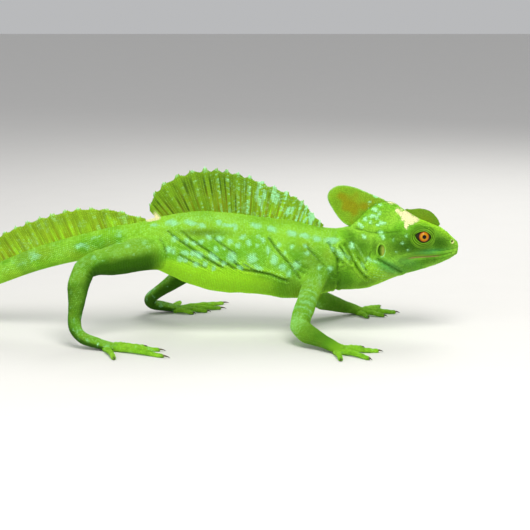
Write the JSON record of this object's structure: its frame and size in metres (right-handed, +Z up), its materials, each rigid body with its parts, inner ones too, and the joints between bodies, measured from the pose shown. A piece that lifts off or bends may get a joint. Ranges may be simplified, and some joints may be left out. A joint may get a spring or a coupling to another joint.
{
  "type": "green basilisk lizard",
  "caption": "Life-size still model of a green crested lizard standing on four feet, with head crests, back sail and long tail.",
  "frame": {"origin": "middle of the model's bounding box, on the floor it stands on", "axes": "+X towards the snout, +Y to the animal's left, +Z up"},
  "size_m": [0.4844, 0.3108, 0.0994],
  "materials": {
    "green_skin": "scaly skin, slightly glossy, leaf green with mint spots",
    "sail_skin": "thin ribbed skin fin, lime green with olive and mint streaks",
    "crest_skin": "scaly skin crest, leaf green with an olive middle",
    "eye": "wet eye, orange iris and black round pupil"
  },
  "bodies": {
    "root": {"head": "green_skin", "rear_crest": "crest_skin", "front_crest": "crest_skin", "left_eye": "eye", "right_eye": "eye", "neck": "green_skin", "torso": "green_skin", "back_sail": "sail_skin", "tail_1": "green_skin", "tail_2": "green_skin", "tail_3": "green_skin", "tail_4": "green_skin", "tail_5": "green_skin", "tail_sail_1": "sail_skin", "tail_sail_2": "sail_skin", "tail_sail_3": "sail_skin", "left_arm_upper": "green_skin", "left_arm_lower": "green_skin", "left_arm_hand": "green_skin", "right_arm_upper": "green_skin", "right_arm_lower": "green_skin", "right_arm_hand": "green_skin", "left_leg_thigh": "green_skin", "left_leg_shank": "green_skin", "left_leg_foot": "green_skin", "right_leg_thigh": "green_skin", "right_leg_shank": "green_skin", "right_leg_foot": "green_skin"}
  },
  "joints": []
}
